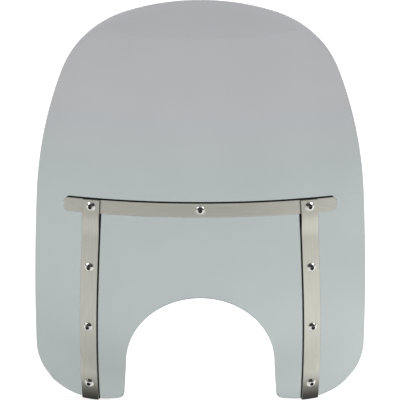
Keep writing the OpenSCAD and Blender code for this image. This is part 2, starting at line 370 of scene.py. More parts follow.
@dataclass(frozen=True)
class RolledLayout(Layout):
    """Plan rolled round the skin's axis: (p, z) lies at the angle p / wrap_r, between two cylinders."""

    skin: Skin
    outer: float
    inner: float

    def lay(self, plan: Array, outer: bool) -> tuple[Array, Array]:
        """See Layout."""
        theta = plan[..., 0] / self.skin.wrap_r
        radius = self.skin.wrap_r + (self.outer if outer else self.inner)
        sine, cosine = np.sin(theta), np.cos(theta)
        points = joined(radius * sine, self.skin.axis_y - radius * cosine, plan[..., 1])
        return points, joined(-sine, cosine, 0.0)

    def plan(self, points: Array) -> Array:
        """See Layout."""
        theta = np.arctan2(points[..., 0], self.skin.axis_y - points[..., 1])
        return joined(theta * self.skin.wrap_r, points[..., 2])


@dataclass
class Plate:
    """A plate over a grid of plan points: two faces, a rounded rim and round holes.

    The grid's border is the outline. The rim is a quarter circle from each face and a straight stretch
    between them. Round a hole, a block of cells gives way to rings from the block's border to the
    circle, each point at its own bearing from the hole's axis.
    """

    layout: Layout
    grid: Array
    edge_r: float
    holes: Sequence[tuple[Station, float]] = ()
    edge_steps: int = 5
    hole_rings: int = 3
    block_reach: float = 1.55

    def border(self, grid: Array) -> Array:
        """The grid's border as one closed ring, without a point twice."""
        sides = [grid[:-1, 0], grid[-1, :-1], grid[:0:-1, -1], grid[0, :0:-1]]
        return np.concatenate(sides)

    def rim_normals(self, rim: Array) -> Array:
        """Normals of a closed outline: its tangent, from neighbour to neighbour, turned outward.

        Args:
            rim: points in order.

        Returns:
            A unit normal at each point.
        """
        after = np.roll(rim, -1, axis=0)
        tangent = after - np.roll(rim, 1, axis=0)
        turning = np.sign(np.sum(rim[:, 0] * after[:, 1] - rim[:, 1] * after[:, 0]))
        normal = turning * joined(tangent[:, 1], -tangent[:, 0])
        return normal / np.linalg.norm(normal, axis=1, keepdims=True)

    def block(self, centre: Array, reach: float) -> tuple[slice, slice]:
        """Finds the block of the grid round a hole.

        Args:
            centre: the hole's centre in the plan.
            reach: least way from there to the border, along its row and column.

        Returns:
            Rows and columns.
        """
        away = np.linalg.norm(self.grid - centre, axis=-1)
        row, column = (int(v) for v in np.unravel_index(np.argmin(away), away.shape))
        far = away > reach
        return tuple(slice(at - int(np.argmax(line[at::-1])), at + int(np.argmax(line[at:])) + 1)
                     for at, line in ((row, far[:, column]), (column, far[row])))

    def build(self, shell: Shell, rim_finish: int = 0) -> Shell:
        """Puts the plate into a shell.

        Args:
            shell: the shell.
            rim_finish: index of the material on the rim.

        Returns:
            The shell.
        """
        rim = self.border(self.grid)
        normals = self.rim_normals(rim)
        inset = self.grid.copy()
        rows, columns = inset.shape[:2]
        marks = self.border(np.arange(rows * columns).reshape(rows, columns))
        inset.reshape(-1, 2)[marks] = rim - self.edge_r * normals
        blocks = [self.block(self.layout.plan(at.origin), self.block_reach * radius)
                  for at, radius in self.holes]
        keep = np.ones((rows - 1, columns - 1), bool)
        for spans in blocks:
            keep[tuple(slice(span.start, span.stop - 1) for span in spans)] = False
        rings, circles = [], []
        angles = np.linspace(0, math.pi / 2, self.edge_steps + 1)[1:]
        for outer in (True, False):
            points, _ = self.layout.lay(inset, outer)
            indices = shell.add(points)
            shell.quads(indices, keep)
            quarter = [self.border(indices)]
            for angle in angles:
                plan = rim - self.edge_r * (1 - math.sin(angle)) * normals
                points, back = self.layout.lay(plan, outer)
                depth = self.edge_r * (1 - math.cos(angle)) * (1 if outer else -1)
                quarter.append(shell.add(points + depth * back))
            shell.band(quarter, finish=rim_finish)
            rings.append(quarter[-1])
            circles.append([self.hole(shell, inset, indices, spans, *hole, outer)
                            for spans, hole in zip(blocks, self.holes)])
        shell.band(rings, finish=rim_finish)
        for outer_circle, inner_circle in zip(*circles):
            shell.band([outer_circle, inner_circle])
        return shell

    def hole(self, shell: Shell, plan: Array, indices: Array, spans: tuple[slice, slice],
             at: Station, radius: float, outer: bool) -> Array:
        """Fills one face with rings from a block's border to a hole's circle.

        Args:
            shell: the shell.
            plan: the face's plan grid.
            indices: indices of its points.
            spans: rows and columns of the block.
            at: the hole's axis.
            radius: its radius.
            outer: whether it is the outer face.

        Returns:
            Indices of the circle.
        """
        border = self.border(plan[spans])
        local = at.measure(self.layout.lay(border, outer)[0])
        bearing = np.arctan2(local[:, 1], local[:, 0])
        round_it = joined(radius * np.cos(bearing), radius * np.sin(bearing), local[:, 2])
        circle = self.layout.plan(at.put(round_it))
        rings = [self.border(indices[spans])]
        for share in np.linspace(0, 1, self.hole_rings + 1)[1:]:
            rings.append(shell.add(self.layout.lay(border + share * (circle - border), outer)[0]))
        shell.band(rings)
        return rings[-1]


# ---- turned parts


def hexagon(flats: float, bearing: Array) -> Array:
    """Radius of a hexagon at each bearing: half its flats over the cosine from the nearest flat."""
    turn = math.pi / 3
    return flats / 2 / np.cos((bearing + turn / 2) % turn - turn / 2)


@dataclass
class Turning:
    """A turned piece: rings about an axis, whose radius and height may vary round the ring."""

    at: Station
    steps: int = 72
    rows: list[tuple] = field(default_factory=list)

    @property
    def bearing(self) -> Array:
        """Bearings of the points of each ring."""
        return np.arange(self.steps) * (2 * math.pi / self.steps)

    def rings(self, *rows: tuple) -> None:
        """Adds rings, each a radius and a height."""
        self.rows.extend(rows)

    def arc(self, centre: tuple[float, float], radius: float, start: float, end: float,
            steps: int) -> None:
        """Adds rings along an arc of the profile, between two angles in degrees."""
        for angle in np.radians(np.linspace(start, end, steps + 1)):
            self.rings((centre[0] + radius * math.cos(angle), centre[1] + radius * math.sin(angle)))

    def build(self, shell: Shell, start: float | None = None, end: float | None = None,
              recess: int = 0) -> Shell:
        """Puts the rings into a shell. With no pole the last ring joins the first.

        Args:
            shell: the shell.
            start: height of the pole that closes the first ring.
            end: height of the pole that closes the last ring.
            recess: how many of the first bands, with their pole, get the second material.

        Returns:
            The shell.
        """
        cosine, sine = np.cos(self.bearing), np.sin(self.bearing)
        radius, height = (np.stack([np.broadcast_to(row[part], cosine.shape) for row in self.rows])
                          for part in (0, 1))
        rings = shell.add(self.at.put(joined(radius * cosine, radius * sine, height)))
        if recess:
            shell.band(rings[:recess + 1], finish=1)
        closing = rings[:1] if start is None and end is None else rings[:0]
        shell.band([*rings[recess:], *closing])
        for ring, pole, finish in ((rings[0], start, int(recess > 0)), (rings[-1], end, 0)):
            if pole is not None:
                shell.cap(ring, self.at.put(np.array([0.0, 0.0, pole])), finish)
        return shell


# ---- finishes


class Tree:
    """A node tree, with short calls to add and join nodes."""

    def __init__(self, tree: bpy.types.NodeTree) -> None:
        """Takes a tree and empties it."""
        self.tree = tree
        tree.nodes.clear()

    def new(self, kind: str) -> bpy.types.Node:
        """Adds a shader node of that kind."""
        return self.tree.nodes.new(f"ShaderNode{kind}")

    def feed(self, node: bpy.types.Node, inputs: dict[str | int, Feed]) -> bpy.types.Node:
        """Fills inputs of a node.

        Args:
            node: the node.
            inputs: by name or number, the socket that feeds an input or its own value. A colour is
                given as red, green and blue.

        Returns:
            The node.
        """
        for key, value in inputs.items():
            target = node.inputs[key]
            if isinstance(value, Socket):
                self.tree.links.new(value, target)
            else:
                target.default_value = (*value, 1.0) if target.type == "RGBA" else value
        return node

    def add(self, kind: str, inputs: dict[str | int, Feed], output: int = 0) -> Socket:
        """Adds a shader node of that kind, fills its inputs and gives one of its outputs."""
        return self.feed(self.new(kind), inputs).outputs[output]

    def axis(self, which: int, place: str = "Object") -> Socket:
        """One of the three coordinates of a point."""
        return self.add("SeparateXYZ", {0: self.new("TexCoord").outputs[place]}, which)

    def ramp(self, source: Socket, stops: Sequence[tuple]) -> Socket:
        """Adds a colour ramp.

        Args:
            source: value that is looked up.
            stops: pairs of position and colour.

        Returns:
            The colour.
        """
        node = self.new("ValToRGB")
        elements = node.color_ramp.elements
        for element, (position, colour) in zip(tuple(elements), (stops[0], stops[-1])):
            element.position, element.color = position, (*colour, 1.0)
        for position, colour in stops[1:-1]:
            elements.new(position).color = (*colour, 1.0)
        return self.feed(node, {0: source}).outputs[0]

    def scale(self, source: Socket, low: float, high: float, source_low: float = NOISE_SPAN[0],
              source_high: float = NOISE_SPAN[1]) -> Socket:
        """Maps a value from one range to another."""
        return self.add("MapRange", {"Value": source, "From Min": source_low, "From Max": source_high,
                                     "To Min": low, "To Max": high})

    def times(self, first: Feed, second: Feed) -> Socket:
        """Multiplies two values."""
        node = self.new("Math")
        node.operation = "MULTIPLY"
        return self.feed(node, {0: first, 1: second}).outputs[0]


class Coat(Tree):
    """The node tree of a new material, with a Principled shader on its output."""

    def __init__(self, name: str) -> None:
        """Makes the material and its shader."""
        self.material = bpy.data.materials.new(name)
        self.material.use_nodes = True
        super().__init__(self.material.node_tree)
        self.shader = self.new("BsdfPrincipled")
        self.feed(self.new("OutputMaterial"), {0: self.shader.outputs[0]})

    def dress(self, inputs: dict[str | int, Feed]) -> Material:
        """Fills the shader's inputs and gives the material."""
        self.feed(self.shader, inputs)
        return self.material

    def place(self, scale: tuple = (1, 1, 1), turn: float = 0.0) -> Socket:
        """Object coordinates, turned about Y by turn in degrees and then stretched by scale."""
        turned = self.add("Mapping", {"Vector": self.new("TexCoord").outputs["Object"],
                                      "Rotation": (0, math.radians(turn), 0)})
        return self.add("Mapping", {"Vector": turned, "Scale": scale})

    def noise(self, place: Socket, scale: float, detail: float = 3.0, rough: float = 0.5) -> Socket:
        """Noise at a scale, in waves to the metre."""
        return self.add("TexNoise", {"Vector": place, "Scale": scale, "Detail": detail,
                                     "Roughness": rough})

    def curve(self, source: Socket, stops: Sequence[tuple]) -> Socket:
        """Puts a value through a line of straight stretches.

        Args:
            source: value that is looked up.
            stops: pairs of source and result, none above CURVE_TOP.

        Returns:
            The result.
        """
        low, high = stops[0][0], stops[-1][0]
        share = self.scale(source, 0.0, 1.0, low, high)
        points = [((at - low) / (high - low), (value / CURVE_TOP,) * 3) for at, value in stops]
        return self.times(self.ramp(share, points), CURVE_TOP)

    def blend(self, share: Socket, first: Socket, second: Socket) -> Socket:
        """Mixes two values by a share."""
        return self.add("Mix", {0: share, 2: first, 3: second})

    def mix(self, share: Feed, first: Feed, second: Feed, how: str = "MIX") -> Socket:
        """Mixes two colours.

        Args:
            share: share of the second.
            first: first colour.
            second: second colour.
            how: blend type.

        Returns:
            The colour.
        """
        node = self.new("Mix")
        node.data_type, node.blend_type = "RGBA", how
        return self.feed(node, {0: share, 6: first, 7: second}).outputs[2]

    def bump(self, height: Socket, depth: float) -> Socket:
        """Normal of a bump of that depth, in metres."""
        return self.add("Bump", {"Height": height, "Distance": depth, "Strength": 1.0})


@dataclass(frozen=True)
class SmokedAcrylic:
    """Clear acrylic with a cool smoke tint, with painted shade that makes it greyer and darker towards
    the top, and faint polishing haze.
    """

    # tint below and above the strap; the darker, greyer tint above is painted shade
    low: tuple = (0.337, 0.375, 0.372)
    high: tuple = (0.333, 0.342, 0.353)
    rise: tuple = (0.33, 0.45)
    haze: tuple = ((0.35, (0.97, 0.97, 0.97)), (0.65, (1.0, 1.0, 1.0)))
    haze_scale: float = 9.0
    rub_scale: float = 220.0
    rough: tuple = (0.012, 0.035)
    refraction: float = 1.49

    def build(self) -> Material:
        """Makes the material.

        Returns:
            The material.
        """
        coat = Coat("smoked acrylic")
        # smoke tint with painted shade: greyer and darker towards the top
        tint_and_shade = coat.mix(coat.scale(coat.axis(2), 0.0, 1.0, *self.rise), self.low, self.high)
        haze = coat.ramp(coat.noise(coat.place(), self.haze_scale, 2.0), self.haze)
        rub = coat.noise(coat.place((1, 1, 0.25)), self.rub_scale, 4.0)
        return coat.dress({
            "Base Color": coat.mix(1.0, tint_and_shade, haze, "MULTIPLY"),
            "Roughness": coat.scale(rub, *self.rough),
            "Transmission Weight": 1.0, "IOR": self.refraction, "Specular IOR Level": 0.5,
        })


@dataclass(frozen=True)
class Stainless:
    """Polished stainless bar with a fine grain along its length, and duller smears.

    A bar can be painted darker towards its foot: painted shade that stands for the dark reflection
    there.
    A table gives the share of the polished colour at heights in metres.
    """

    name: str
    stretch: tuple = (6, 260, 1400)
    turn: float = 0.0
    foot_fade: tuple = ()
    light: tuple = (0.60, 0.592, 0.525)
    dark: tuple = (0.51, 0.502, 0.44)
    # near-black colour of the painted shade at the foot
    foot: tuple = (0.03, 0.029, 0.027)
    gloss: tuple = (0.24, 0.34)
    smear: float = 0.42
    smear_scale: float = 26.0
    rough: tuple = (0.2, 0.36, 0.2, 0.42)
    depth: float = 0.000012

    def build(self) -> Material:
        """Makes the material.

        Returns:
            The material.
        """
        coat = Coat(self.name)
        grain = coat.noise(coat.place(self.stretch, self.turn), 1.0, 5.0, 0.6)
        colour = coat.ramp(grain, tuple(zip(NOISE_SPAN, (self.dark, self.light))))
        # painted shade: towards the foot the colour goes to the near-black one
        if self.foot_fade:
            colour = coat.mix(coat.curve(coat.axis(2), self.foot_fade), self.foot, colour)
        gloss = coat.ramp(grain, [(at, (value,) * 3) for at, value in zip(NOISE_SPAN, self.gloss)])
        rough = coat.mix(coat.noise(coat.place(), self.smear_scale), gloss, (self.smear,) * 3)
        return coat.dress({"Base Color": colour, "Roughness": coat.scale(rough, *self.rough),
                           "Normal": coat.bump(grain, self.depth), "Metallic": 1.0})


@dataclass(frozen=True)
class Grained:
    """A surface with one fine grain in its colour, its gloss and its height.

    The colour goes from dark to light between two values of the grain, in span. Where a table of heights
    is given, painted shade on it is lifted towards a lighter colour by the share the table gives.
    """

    name: str
    dark: tuple
    light: tuple
    span: tuple
    rough: tuple
    grain: float
    depth: float
    harsh: float = 0.5
    metal: float = 1.0
    specular: float = 0.5
    fade: tuple = ()
    # lighter colour where the painted shade is lifted
    rubbed: tuple = (0.24, 0.235, 0.21)

    @classmethod
    def steel(cls, name: str, colour: tuple, rough: tuple, grain: float = 420.0) -> "Grained":
        """Plated steel of a fastener, with light tool marks."""
        return cls(name, shade(colour, 0.78), colour, (0.25, 0.55), rough, grain, 0.000008)

    @classmethod
    def sheared(cls, name: str, fade: tuple = ()) -> "Grained":
        """Edge of a bar, near-black, dull and pitted: painted shade that stands for the shadow and dark
        reflection along a strap's edge.
        """
        edge_shade_black = (0.028, 0.027, 0.025)
        return cls(name, shade(edge_shade_black, 0.7), edge_shade_black, (0.3, 0.6), (0.4, 0.6), 700.0, 0.00001, fade=fade)

    @classmethod
    def black(cls, name: str, colour: tuple, rough: tuple, grain: float, depth: float) -> "Grained":
        """Black rubber or foam tape, dusty on its grain."""
        return cls(name, colour, shade(colour, 1.9, 0.006), (0.35, 0.75), rough, grain, depth,
                   harsh=0.65, metal=0.0, specular=0.4)

    def build(self) -> Material:
        """Makes the material.

        Returns:
            The material.
        """
        coat = Coat(self.name)
        grain = coat.noise(coat.place(), self.grain, 4.0, self.harsh)
        colour = coat.ramp(grain, tuple(zip(self.span, (self.dark, self.light))))
        # painted shade lifted by height
        if self.fade:
            colour = coat.mix(coat.curve(coat.axis(2), self.fade), colour, self.rubbed)
        return coat.dress({"Base Color": colour, "Roughness": coat.scale(grain, *self.rough),
                           "Normal": coat.bump(grain, self.depth), "Metallic": self.metal,
                           "Specular IOR Level": self.specular})


def shade(colour: tuple, share: float, lift: float = 0.0) -> tuple:
    """A share of a colour, lifted by a constant."""
    return tuple(share * value + lift for value in colour)


# ---- the sheet


def arc(centre: Array, radius: float, start: float, end: float, steps: int = 400) -> Array:
    """Points of an arc between two bearings in radians."""
    angle = np.linspace(start, end, steps + 1)
    return centre + radius * joined(np.cos(angle), np.sin(angle))


def chain(*arcs: tuple) -> Array:
    """Points of arcs that follow one another, each given as arc takes it."""
    return np.concatenate([arc(*each)[min(row, 1):] for row, each in enumerate(arcs)])


def bearing(start: Array, end: Array) -> float:
    """Bearing from one point to another, in radians."""
    return math.atan2(end[1] - start[1], end[0] - start[0])


def fillet(first: Array, first_r: float, second: Array, second_r: float) -> Array:
    """Finds where two circles meet, on the left of the way between their centres.

    Args:
        first: first centre.
        first_r: its radius.
        second: second centre.
        second_r: its radius.

    Returns:
        The point.
    """
    way = second - first
    span = np.linalg.norm(way)
    way = way / span
    along = (first_r**2 - second_r**2 + span**2) / (2 * span)
    return first + way * along + np.array([-way[1], way[0]]) * math.sqrt(first_r**2 - along**2)


def along(path: Array, shares: Array) -> Array:
    """Finds points at shares of a path's length.

    Args:
        path: points of the path.
        shares: the shares.

    Returns:
        A point for each share.
    """
    steps = np.linalg.norm(np.diff(path, axis=0), axis=1)
    run = np.concatenate([[0.0], np.cumsum(steps)]) / steps.sum()
    return joined(*(np.interp(shares, run, part) for part in path.T))


@dataclass(frozen=True)
class Outline:
    """Outline of the sheet seen from ahead: a chain of arcs on each side, and the round cut-out."""

    width: float
    top_z: float
    skin: Skin
    crown_r: float = 318.0
    shoulder_r: float = 150.0
    side_r: float = 600.0
    flank_r: float = 3750.0
    corner_r: float = 82.0
    foot_r: float = 160.0
    foot_x: float = 156.0
    widest_up: float = 112.0
    side_rise: float = 10.0
    cut_d: float = 216.0
    cut_z: float = 65.0
    leg_flare: float = 3.5
    leg_corner_r: float = 13.0
    rays: int = 84
    leg_rows: int = 20
    across: int = 50

    def right_paths(self) -> tuple[Array, Array, Array]:
        """Dense paths of the right half.

        Returns:
            The outer path, from the crown to the middle of the foot's outer corner; the foot, from
            there to the middle of its inner corner; and the inner path, from the cut-out's widest
            point to the same place.
        """
        crown = np.array([0.0, self.top_z - self.crown_r])
        flank = np.array([self.width / 2 - self.flank_r, self.widest_up])
        join_z = self.skin.strap_z + self.side_rise
        join_x = flank[0] + math.sqrt(self.flank_r**2 - (join_z - self.widest_up) ** 2)
        join = np.array([join_x, join_z])
        side = join + (flank - join) * self.side_r / self.flank_r
        shoulder = fillet(side, self.side_r - self.shoulder_r, crown, self.crown_r - self.shoulder_r)
        foot = np.array([self.foot_x, self.foot_r])
        corner = fillet(foot, self.foot_r - self.corner_r, flank, self.flank_r - self.corner_r)
        flare = math.radians(self.leg_flare)
        down = np.array([math.sin(flare), -math.cos(flare)])
        aside = np.array([math.cos(flare), math.sin(flare)])
        top = np.array([self.cut_d / 2, self.cut_z])
        base = top + aside * self.leg_corner_r - foot
        run = -base @ down + math.sqrt((base @ down) ** 2 - base @ base
                                       + (self.foot_r - self.leg_corner_r) ** 2)
        inner = foot + base + down * run
        corner_mid = (bearing(flank, corner) + bearing(foot, corner)) / 2
        inner_start, inner_end = bearing(foot, inner), -math.pi + flare
        inner_mid = (inner_start + inner_end) / 2
        outer_path = chain(
            (crown, self.crown_r, math.pi / 2, bearing(crown, shoulder)),
            (shoulder, self.shoulder_r, bearing(crown, shoulder), bearing(side, shoulder)),
            (side, self.side_r, bearing(side, shoulder), bearing(flank, join)),
            (flank, self.flank_r, bearing(flank, join), bearing(flank, corner)),
            (corner, self.corner_r, bearing(flank, corner), corner_mid))
        foot_path = chain(
            (corner, self.corner_r, corner_mid, bearing(foot, corner)),
            (foot, self.foot_r, bearing(foot, corner), inner_start),
            (inner, self.leg_corner_r, inner_start, inner_mid))
        inner_path = np.concatenate([
            top + np.linspace(0, 1, 50)[:, None] * (inner - aside * self.leg_corner_r - top),
            arc(inner, self.leg_corner_r, inner_end, inner_mid)[1:],
        ])
        return outer_path, foot_path, inner_path

    def grid(self) -> Array:
        """Plan grid of the sheet, from the left foot over the crown to the right foot.

        Above the cut-out's widest point a row is a ray from the cut-out's centre. Below it a row joins
        points at the same share of the outer and the inner path, and bends more and more until the
        last one is the foot.

        Returns:
            Array of rows, of columns, of x and z.
        """
        outer, foot, inner = self.right_paths()
        rays = self.rays
        centre = np.array([0.0, self.cut_z])
        angles = np.arctan2(outer[:, 1] - centre[1], outer[:, 0])
        level = np.interp(0.0, angles[::-1], np.arange(len(outer))[::-1])
        ray = np.linspace(math.pi / 2, 0, rays + 1)
        ray_outer = joined(*(np.interp(ray, angles[::-1], path[::-1]) for path in outer.T))
        ray_inner = arc(centre, self.cut_d / 2, math.pi / 2, 0, rays)
        below = np.concatenate([ray_outer[-1:], outer[int(level) + 1:]])
        shares = np.linspace(0, 1, self.leg_rows + 1)[1:]
        side_outer = np.concatenate([ray_outer, along(below, shares)])
        side_inner = np.concatenate([ray_inner, along(inner, shares)])
        share = np.linspace(0, 1, self.across + 1)[None, :, None]
        rows = side_outer[:, None] * (1 - share) + side_inner[:, None] * share
        bend = along(foot, share[0, :, 0]) - rows[-1]
        weight = np.concatenate([np.zeros(rays + 1), shares**2 * (3 - 2 * shares)])
        rows = rows + weight[:, None, None] * bend[None]
        rows[0, :, 0] = 0.0
        mirrored = rows[:0:-1] * np.array([-1.0, 1.0])
        return np.concatenate([mirrored, rows])

    def foot_z(self, x: Array) -> Array:
        """Height of the foot's arc at a distance from the middle."""
        return self.foot_r - np.sqrt(self.foot_r**2 - (x - self.foot_x) ** 2)


@dataclass
class Sheet:
    """The acrylic sheet, with its nine holes and its rolled and polished edge."""

    outline: Outline
    holes: Sequence[Station]
    thick: float = 4.8
    edge_r: float = 1.5
    hole_r: float = 5.65
    finish: SmokedAcrylic = SmokedAcrylic()

    def build(self) -> None:
        """Makes the sheet."""
        layout = FacingLayout(self.outline.skin, lambda z: 0.0, lambda z: -self.thick)
        holes = [(at, self.hole_r) for at in self.holes]
        shell = Plate(layout, self.outline.grid(), self.edge_r, holes).build(Shell())
        shell.piece("acrylic_sheet", "smoke_acrylic", [self.finish.build()], ["screen"])


# ---- the straps


@dataclass(frozen=True)
class Stack:
    """Thicknesses of what lies on the sheet's outer face, and the gap between any two of them."""

    gap: float = 0.1
    tape: float = 1.5
    cross: float = 3.2
    side: float = 3.2

    @property
    def low(self) -> float:
        """Underside of a strap that lies on the tape."""
        return self.tape + self.gap

    @property
    def high(self) -> float:
        """Underside of a side strap where it lies on the cross strap."""
        return self.tape + self.cross + 3 * self.gap


@dataclass
class Strap:
    """What every bar shares with the others: its place on the sheet, its holes and the tape under it."""

    outline: Outline
    stack: Stack
    stations: Sequence[Station]
    cross_width: float = 20.6
    hole_r: float = 4.27
    edge_r: float = 0.3
    tape_edge_r: float = 0.2
    edge_steps: int = 3
    tape_inset: float = 0.8
    tape_proud: float = 1.0

    def lay(self, word: str, bar: tuple[Layout, Array], pad: tuple[Layout, Array],
            materials: Sequence[Material], bare: int = 0) -> None:
        """Makes a bar and its tape.

        Args:
            word: what their names start with.
            bar: layout and plan grid of the bar.
            pad: layout and plan grid of the tape.
            materials: finishes of the bar's faces, of its edge and of the tape.
            bare: how many of the first holes lie past the tape.
        """
        # the bar's edge finish is near-black painted shade
        steel, cut, tape = materials
        holes = [(at, self.hole_r) for at in self.stations]
        plate = Plate(*bar, self.edge_r, holes, self.edge_steps).build(Shell(), rim_finish=1)
        plate.piece(f"{word}_bar", "polished_stainless", [steel, cut], [f"{word}_strap"])
        plate = Plate(*pad, self.tape_edge_r, holes[bare:], self.edge_steps).build(Shell())
        plate.piece(f"{word}_tape", "black_tape", [tape], [f"{word}_gasket"])


@dataclass
class CrossStrap(Strap):
    """The bar across the screen, bent round the wrap, with clipped corners, and the tape under it."""

    span: float = 387.0
    clip: float = 4.5
    cells: tuple = (3, 150, 12)

    def grid(self, inset: float = 0.0, proud: float = 0.0) -> Array:
        """Plan grid: the half width shrinks at 45 degrees over the clip at each end.

        Args:
            inset: how far the lower edge and the ends draw in.
            proud: how far the upper edge stands out.

        Returns:
            Array of rows, of columns, of p and z.
        """
        skin, (clipping, lengthwise, across) = self.outline.skin, self.cells
        half = skin.wrap_r * math.asin(self.span / 2 / skin.wrap_r) - inset
        clipped = half - self.clip
        end = np.linspace(clipped, half, clipping + 1)[1:]
        p = np.concatenate([-end[::-1], np.linspace(-clipped, clipped, lengthwise + 1), end])
        tall = (self.cross_width - inset + proud) / 2 - np.maximum(np.abs(p) - clipped, 0)
        q = (proud + inset) / 2 + np.linspace(-1, 1, across + 1)[None, :] * tall[:, None]
        return joined(p[:, None], skin.strap_z + q)

    def build(self, *materials: Material) -> None:
        """Makes the strap and its tape, with the finishes in the order that lay takes."""
        skin, low = self.outline.skin, self.stack.low
        bar = RolledLayout(skin, low + self.stack.cross, low)
        pad = RolledLayout(skin, self.stack.tape, self.stack.gap / 2)
        self.lay("cross", (bar, self.grid()), (pad, self.grid(self.tape_inset, self.tape_proud)),
                 materials)


@dataclass
class SideStrap(Strap):
    """The bar down one side, stepped over the cross strap and cut to the sheet's foot, and its tape."""

    side: Side = Side.RIGHT
    width: float = 25.4
    place_x: float = 153.5
    splay: float = 3.3
    step_length: float = 34.0
    step_drop: float = 1.5
    cells: tuple = (130, 12)

    @property
    def turn(self) -> float:
        """Angle of the strap's middle about the skin's axis, at the cross strap."""
        return math.asin(self.place_x / self.outline.skin.wrap_r)

    def lift(self, z: Array) -> Array:
        """Offset of the underside: a smooth step from the tape up to the cross strap.

        Args:
            z: heights.

        Returns:
            The offsets.
        """
        top = self.outline.skin.strap_z - self.cross_width / 2 - self.step_drop
        share = np.clip((z - top) / self.step_length + 1, 0, 1)
        return self.stack.low + (self.stack.high - self.stack.low) * share**2 * (3 - 2 * share)

    def grid(self, layout: Layout, top: float, inset: float = 0.0, proud: float = 0.0) -> Array:
        """Plan grid: rows at one height from the strap's top, which end on the foot's arc.

        A column keeps its distance from the splayed middle. Its lowest point is found by laying it,
        reading the arc's height there, and repeating.

        Args:
            layout: how the plan is laid.
            top: height of the top edge.
            inset: how far the outer edge and the foot draw in.
            proud: how far the inner edge stands out.

        Returns:
            Array of rows, of columns, of p and z.
        """
        slope, (down, across) = math.tan(math.radians(self.splay)), self.cells
        strap_z = self.outline.skin.strap_z
        u = np.linspace(-self.width / 2 - proud, self.width / 2 - inset, across + 1)
        u = u / math.cos(math.radians(self.splay))
        low = np.full(across + 1, inset)
        for _ in range(FOOT_PASSES):
            plan = joined(u + (strap_z - low) * slope, low)
            low = self.outline.foot_z(self.side.value * layout.lay(plan, True)[0][:, 0]) + inset
        share = np.linspace(0, 1, down + 1)[:, None]
        z = top + (low[None, :] - top) * share
        return joined(u + (strap_z - z) * slope, z)

    def build(self, *materials: Material) -> None:
        """Makes the strap and its tape, with the finishes in the order that lay takes."""
        skin, stack, facing = self.outline.skin, self.stack, (self.turn, self.side.value)
        bar = FacingLayout(skin, lambda z: self.lift(z) + stack.side, self.lift, *facing)
        pad = FacingLayout(skin, lambda z: stack.tape, lambda z: stack.gap / 2, *facing)
        bar_top = skin.strap_z + self.cross_width / 2
        pad_grid = self.grid(pad, bar_top - self.cross_width - stack.gap, self.tape_inset,
                             self.tape_proud)
        self.lay(self.side.word, (bar, self.grid(bar, bar_top)), (pad, pad_grid), materials, bare=1)


# ---- the fasteners


